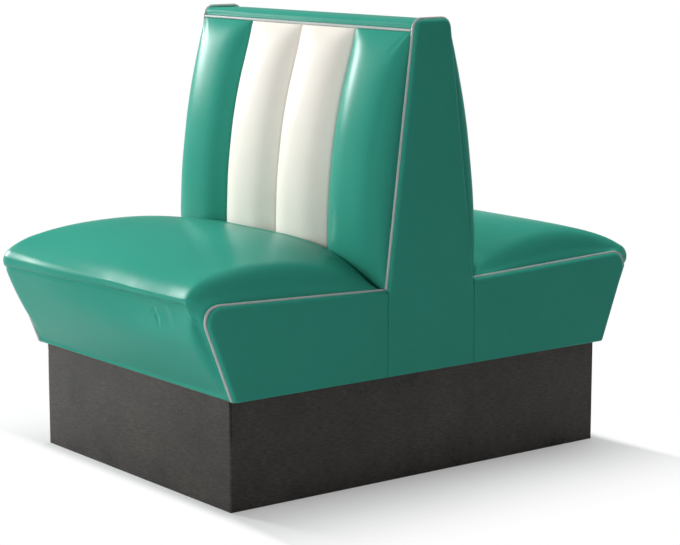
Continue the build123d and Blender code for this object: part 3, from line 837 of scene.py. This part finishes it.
class BOOTH_OT_side_panels(bpy.types.Operator):
    """Builds the flat vinyl panels on both sides of the seats and the back"""

    bl_idname = "booth.side_panels"
    bl_label = "Side panels"

    def execute(self, context):
        for hand_name, hand in HANDS:
            for seat, side in SEATS:
                node = f"{seat}_seat_side_cover_{hand_name}"
                panel(node + "_panel", seat_panel_corners(), (0, 0, NOSE_RADIUS, 0), side, hand,
                      "green_vinyl", (node,))
            node = f"back_side_cover_{hand_name}"
            panel(node + "_panel", back_panel_corners(), (0, 0, ARCH_RADIUS, ARCH_RADIUS, 0, 0), 1, hand,
                  "green_vinyl", (node,))
        return {"FINISHED"}


class BOOTH_OT_piping(bpy.types.Operator):
    """Builds the piping cords round the seats, over the arched sides and under the cap"""

    bl_idname = "booth.piping"
    bl_label = "Piping"

    def execute(self, context):
        section = seat_sections(np.ones(1), FLAT_CROWN)[0]
        start = section[0] + unit(section[1] - section[0]) * 0.002
        outline = np.concatenate([[start], section[1:]])
        half = list(arch_line())
        corners = half + [(-reach, height) for reach, height in reversed(half)]
        arch = rounded(corners, (0, ARCH_RADIUS, ARCH_RADIUS, 0), 14)
        for hand_name, hand, x in (("left", -1, -PIPING_X - 0.002), ("right", 1, PIPING_X)):
            for seat, side in SEATS:
                path = [(x - hand * 0.001 * (side + 1), -side * reach, height) for reach, height in outline]
                node = f"{seat}_seat_piping_{hand_name}"
                piping_tube(node + "_cord", path, "piping", (node,))
            path = [(x - hand * 0.002 * (reach < 0), -reach, height) for reach, height in arch]
            node = f"back_side_piping_{hand_name}"
            piping_tube(node + "_cord", path, "piping", (node,))
        for seat, side in SEATS:
            node = f"{seat}_cap_piping"
            path = [(-HALF_COVER, side * SHOULDER_REACH, SHOULDER_HEIGHT),
                    (HALF_COVER, side * SHOULDER_REACH, SHOULDER_HEIGHT)]
            piping_tube(node + "_cord", path, "piping", (node,))
        return {"FINISHED"}


# Cap


class BOOTH_OT_cap(bpy.types.Operator):
    """Builds the long padded cap over the top of the back"""

    bl_idname = "booth.cap"
    bl_label = "Cap"

    def execute(self, context):
        end = [0.98, 0.99, 0.997, 1]
        widths = np.concatenate([[-w for w in reversed(end)], np.linspace(-0.965, 0.965, 61), end])
        outlines = []
        for inset in (0.0, 0.0098):
            radius = max(CAP_RADIUS - inset, 0.003)
            reach, top = SHOULDER_REACH - inset, CAP_HIGH - inset
            turn = np.linspace(0, math.pi / 2, 9)
            centre = np.array([reach - radius, top - radius])
            corner = centre + radius * np.stack([np.cos(turn), np.sin(turn)], -1)
            upright = np.stack([np.full(4, reach), np.linspace(CAP_LOW, top - radius, 5)[:-1]], -1)
            level = np.stack([np.linspace(reach - radius, 0, 9)[1:], np.full(8, top)], -1)
            half = np.concatenate([upright, corner, level])
            outlines.append(np.concatenate([half, (half * (-1, 1))[::-1][1:]]))
        (reach, height), (core_reach, core_height) = (outline.T[:, None] for outline in outlines)
        widths = widths[:, None]
        x = widths * (HALF_COVER - CLEARANCE) * np.ones_like(reach)
        # The top is slightly crowned, and the cover is tucked in a little at its ends.
        crown = 0.0016 * (1 - (reach / SHOULDER_REACH) ** 2) * (height > CAP_HIGH - 0.006)
        tuck = 0.0015 * np.abs(widths) ** 60
        top = np.stack([x, reach * (1 - tuck * 6), height + crown * (1 - np.abs(widths) ** 12)
                        - tuck * (height - CAP_LOW) / (CAP_HIGH - CAP_LOW)], -1)
        low = np.stack([x, core_reach + 0 * x, core_height + 0 * x], -1)
        pad("cap_pad", top, low, "green_vinyl", ("cap_cover", "cap_padding"), False,
            pressure=4, cap=0.0015)
        return {"FINISHED"}


# Plinth and hidden pieces


class BOOTH_OT_plinth(bpy.types.Operator):
    """Finishes the plinth boards and wraps them in black laminate with rounded corners"""

    bl_idname = "booth.plinth"
    bl_label = "Plinth"

    def execute(self, context):
        low, high = (np.array(corner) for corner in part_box("plinth_front_panel"))
        far = np.array(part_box("plinth_rear_panel")[1])
        skin = 0.0009
        corners = [(low[0] - skin, low[1] - skin), (far[0] + skin, low[1] - skin),
                   (far[0] + skin, far[1] + skin), (low[0] - skin, far[1] + skin)]
        outline = divided(rounded(corners, (0.004,) * 4, 6), 0.03)
        outward = -mitres(outline)
        top = high[2] - 0.0005
        # Each ring of the wrap: how far it lies out from the outline, and its height
        rings = ((0.0001 - skin, 0.0004), (-0.0001, 0.0004), (0, 0.0014), (0, 0.12), (0, top),
                 (0.0001 - skin, top))
        points = [(*(p + way * inset), height) for inset, height in rings for p, way in zip(outline, outward)]
        faces = [tuple(i % len(points) for i in face) for face in tube_faces(len(rings) + 1, len(outline))]
        wrap = make_piece("plinth_laminate_wrap", points, faces, "black_laminate", smooth=False)
        for polygon in wrap.data.polygons:
            polygon.use_smooth = abs(polygon.normal.z) < 0.3 and max(map(abs, polygon.normal[:2])) < 0.999
        for side in ("front", "rear", "left", "right"):
            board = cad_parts[f"plinth_{side}_panel"]
            bevel = board.modifiers.new("Eased edges", "BEVEL")
            bevel.width, bevel.segments, bevel.limit_method = 0.0025, 2, "ANGLE"
        return {"FINISHED"}


# The CAD nodes that are shown as they are, under the slot of their material
BARE_NODES = (
    ("black_laminate", "plinth_{seat}_panel plinth_{hand}_panel"),
    ("softwood", "plinth_cross_rails plinth_corner_blocks back_top_rail back_lower_rails "
                 "{seat}_seat_back_rail"),
    ("plywood", "{seat}_seat_floor {seat}_seat_side_boards {seat}_seat_front_board {seat}_seat_deck "
                "{seat}_back_board back_side_frame_{hand}"),
    ("steel", "corner_block_screws leveller_nuts plinth_brackets plinth_bracket_screws seat_bolts_and_nuts"),
    ("foot_plastic", "levelling_foot_{seat}_{hand}"),
)


class BOOTH_OT_carcass(bpy.types.Operator):
    """Gives the boards, screws, brackets and feet their wood, steel and plastic"""

    bl_idname = "booth.carcass"
    bl_label = "Carcass and hardware"

    def execute(self, context):
        for slot, names in BARE_NODES:
            ends = [names.format(seat=seat, hand=hand) for seat, _ in SEATS for hand, _ in HANDS]
            for name in sorted(set(" ".join(ends).split())):
                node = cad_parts[name]
                node.data.materials.clear()
                node.data.materials.append(material_for(slot))
                if slot in ("steel", "foot_plastic"):
                    smooth = node.modifiers.new("Eased edges", "BEVEL")
                    smooth.width, smooth.segments, smooth.limit_method = 0.0003, 1, "ANGLE"
        return {"FINISHED"}


# Stage


# Each lamp's name, place, target, size in metres, power in watts, whether it gives highlights,
# and its roll in degrees
LAMPS = (
    ("Near left softbox", (-3.4, -1.15, 1.7), (-0.2, -0.64, 0.47), (0.5, 1.3), 80, True, 55),
    ("Far left softbox", (-6.2, -1.8, 2.7), (0, 0, 0.6), (1.2, 1.2), 215, True, 0),
    ("Front fill", (0.7, -3.9, 1.5), (0, 0, 0.5), (2.2, 1.4), 54, False, 0),
    ("Overhead fill", (-0.3, 1.3, 3.5), (0, 0, 0.6), (2.6, 2.6), 103, False, 0),
)
CAMERA_PLACE = (3.949, -2.985, 1.2634)
CAMERA_AZIMUTH = 52.4
CAMERA_ELEVATION = 9.78
CAMERA_LENS = 111.92


def area_lamp(name, place, target, size, power, mirrored, roll):
    """A soft lamp that the camera doesn't see; one that isn't mirrored gives no highlights."""
    data = bpy.data.lights.new(name, "AREA")
    data.shape = "RECTANGLE"
    data.size, data.size_y = size
    data.energy = power
    lamp = bpy.data.objects.new(name, data)
    lamp.location = place
    lamp.rotation_euler = (Vector(target) - Vector(place)).to_track_quat("-Z", "Y").to_euler()
    lamp.rotation_euler.rotate_axis("Z", math.radians(roll))
    lamp.visible_camera = False
    lamp.visible_glossy = mirrored
    bpy.context.scene.collection.objects.link(lamp)


class BOOTH_OT_stage(bpy.types.Operator):
    """Sets up the pale floor, the soft studio lamps and the camera"""

    bl_idname = "booth.stage"
    bl_label = "Stage"

    def execute(self, context):
        scene = context.scene
        scene.view_settings.view_transform = "Standard"
        self.add_floor(scene)
        self.add_world(scene)
        for lamp in LAMPS:
            area_lamp(*lamp)
        self.add_camera(scene)
        return {"FINISHED"}

    def add_floor(self, scene):
        material, tree, place = new_material("Studio floor, painted")
        tone = shade(scene.booth_colours.floor, 1.0)
        paint = add(tree, "BsdfPrincipled", {
            "Base Color": tone, "Roughness": 0.9, "Specular IOR Level": 0.1})
        white = add(tree, "Emission", {"Color": (1, 1, 1, 1), "Strength": 1.0})
        path = add(tree, "LightPath", output=None).outputs
        # The shadow shows beside the plinth's long sides, half a metre out, and before its ends
        # the floor is white at once.
        away = add(tree, "VectorMath", {0: place}, operation="ABSOLUTE")
        away = add(tree, "VectorMath", {0: away, 1: (0.36, 0.53, 0)}, operation="SUBTRACT")
        away = add(tree, "VectorMath", {0: away, 1: (1 / 0.49, 1 / 0.05, 0)}, operation="MULTIPLY")
        away = add(tree, "SeparateXYZ", {"Vector": away}, output=None).outputs
        away = add(tree, "Math", {0: away["X"], 1: away["Y"]}, operation="MAXIMUM")
        fade = add(tree, "MapRange", {"Value": away, "To Min": 0.25}, interpolation_type="SMOOTHSTEP")
        # The covers and the plinth mirror the painted floor near the booth, and more of its
        # white further out.
        far = add(tree, "SeparateXYZ", {"Vector": place}, output="X")
        far = add(tree, "Math", {0: far, 1: 0.45}, operation="SUBTRACT")
        far = add(tree, "Math", {0: far}, operation="ABSOLUTE")
        far = add(tree, "MapRange", {
            "Value": far, "From Min": 0.8, "From Max": 1.5, "To Min": 0.1, "To Max": 0.42},
            interpolation_type="SMOOTHSTEP")
        seen = add(tree, "Math", {0: path["Is Glossy Ray"], 1: far}, operation="MULTIPLY")
        for ray in ("Is Camera Ray", "Is Transmission Ray"):
            seen = add(tree, "Math", {0: seen, 1: path[ray]}, operation="MAXIMUM")
        seen = add(tree, "Math", {0: seen, 1: fade}, operation="MULTIPLY")
        shader = add(tree, "MixShader", {0: seen, 1: paint, 2: white})
        finish_material(material, tree, shader, scene.booth_colours.floor)
        sides = 96
        turns = [2 * math.pi * k / sides for k in range(sides)]
        points = [(0, 0, 0)]
        points += [(radius * math.cos(turn), radius * math.sin(turn), 0)
                   for radius in (1.0, 3.0, 14.0, 90.0) for turn in turns]
        faces = [(0, 1 + k, 1 + (k + 1) % sides) for k in range(sides)]
        faces += [tuple(1 + i for i in face) for face in flip(tube_faces(4, sides))]
        mesh = bpy.data.meshes.new("studio_floor")
        mesh.from_pydata(points, [], faces)
        mesh.materials.append(material)
        floor = bpy.data.objects.new("studio_floor", mesh)
        scene.collection.objects.link(floor)

    def add_world(self, scene):
        world = bpy.data.worlds.new("Studio")
        world.use_nodes = True
        scene.world = world
        tree = world.node_tree
        tree.nodes.clear()
        # White at the horizon, where the floor ends, and a dim room above it, which the camera
        # itself sees as white
        place = add(tree, "TexCoord", output="Generated")
        height = add(tree, "SeparateXYZ", {"Vector": place}, output="Z")
        strength = add(tree, "MapRange", {"Value": height, "From Max": 0.13, "To Min": 1.0, "To Max": 0.13},
                       interpolation_type="SMOOTHSTEP")
        seen = add(tree, "LightPath", output="Is Camera Ray")
        strength = add(tree, "Math", {0: strength, 1: seen}, operation="MAXIMUM")
        sky = add(tree, "Background", {"Color": (1, 1, 1, 1), "Strength": strength})
        tree.links.new(sky, add(tree, "OutputWorld", output=None).inputs["Surface"])

    def add_camera(self, scene):
        data = bpy.data.cameras.new("Camera")
        data.lens = CAMERA_LENS
        data.sensor_width = 36
        data.sensor_fit = "HORIZONTAL"
        data.clip_end = 200
        camera = bpy.data.objects.new("Camera", data)
        azimuth, elevation = math.radians(CAMERA_AZIMUTH), math.radians(CAMERA_ELEVATION)
        back = Vector((math.sin(azimuth) * math.cos(elevation), -math.cos(azimuth) * math.cos(elevation),
                       math.sin(elevation)))
        camera.location = CAMERA_PLACE
        camera.rotation_euler = back.to_track_quat("Z", "Y").to_euler()
        scene.collection.objects.link(camera)
        scene.camera = camera


OPERATORS = (BOOTH_OT_stage, BOOTH_OT_seat_cushions, BOOTH_OT_channels, BOOTH_OT_side_panels,
             BOOTH_OT_piping, BOOTH_OT_cap, BOOTH_OT_plinth, BOOTH_OT_carcass)


class BOOTH_PT_builder(bpy.types.Panel):
    """Lists the booth's sizes, colours and pieces"""

    bl_label = "Booth seat"
    bl_idname = "BOOTH_PT_builder"
    bl_space_type = "VIEW_3D"
    bl_region_type = "UI"
    bl_category = "Booth"

    def draw(self, context):
        for group in (context.scene.booth_sizes, context.scene.booth_colours):
            box = self.layout.box()
            for name in group.__annotations__:
                box.prop(group, name)
        for operator in OPERATORS:
            self.layout.operator(operator.bl_idname)


CLASSES = (BoothSizes, BoothColours, *OPERATORS, BOOTH_PT_builder)


def register():
    for cls in CLASSES:
        bpy.utils.register_class(cls)
    bpy.types.Scene.booth_sizes = PointerProperty(type=BoothSizes)
    bpy.types.Scene.booth_colours = PointerProperty(type=BoothColours)


def unregister():
    del bpy.types.Scene.booth_colours
    del bpy.types.Scene.booth_sizes
    for cls in reversed(CLASSES):
        bpy.utils.unregister_class(cls)


def main():
    register()
    for operator in OPERATORS:
        group, name = operator.bl_idname.split(".")
        getattr(getattr(bpy.ops, group), name)()


if __name__ == "__main__":
    main()
